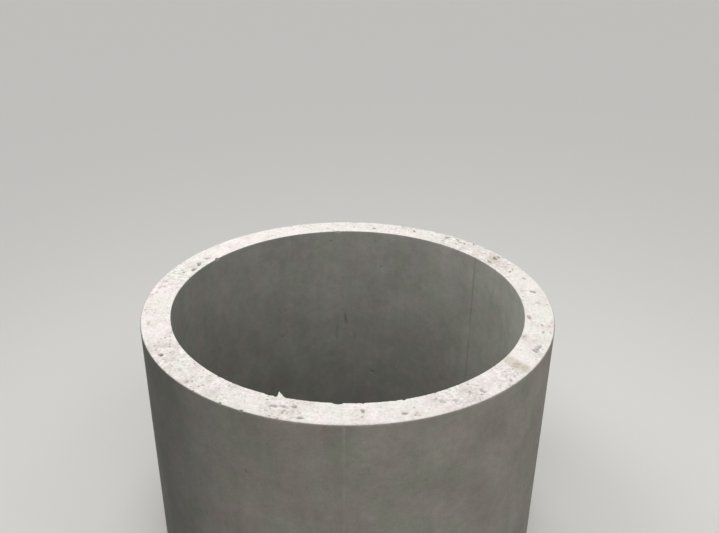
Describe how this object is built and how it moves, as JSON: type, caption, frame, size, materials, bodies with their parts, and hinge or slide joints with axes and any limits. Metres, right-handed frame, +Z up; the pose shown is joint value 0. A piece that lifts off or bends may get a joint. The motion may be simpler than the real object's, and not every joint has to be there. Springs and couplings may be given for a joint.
{
  "type": "concrete sewer pipe",
  "caption": "Short plain-ended concrete pipe standing on end, with a thick wall, straight bore, flat trowelled rim and faint mould seams, for sewers, culverts and shafts.",
  "frame": {"origin": "centre of the foot, on the axis of the bore, in the plane that the pipe stands on", "axes": "+Z up along the bore towards the trowelled rim; the outer mould fins lie on -Y and +Y, and -Y faces the viewer of the picture"},
  "size_m": [1.0498, 1.053, 0.7],
  "materials": {
    "cast_concrete": "matte cast concrete, formed on the walls and trowelled on the rim"
  },
  "bodies": {
    "root": {"concrete_pipe": "cast_concrete"}
  },
  "joints": []
}
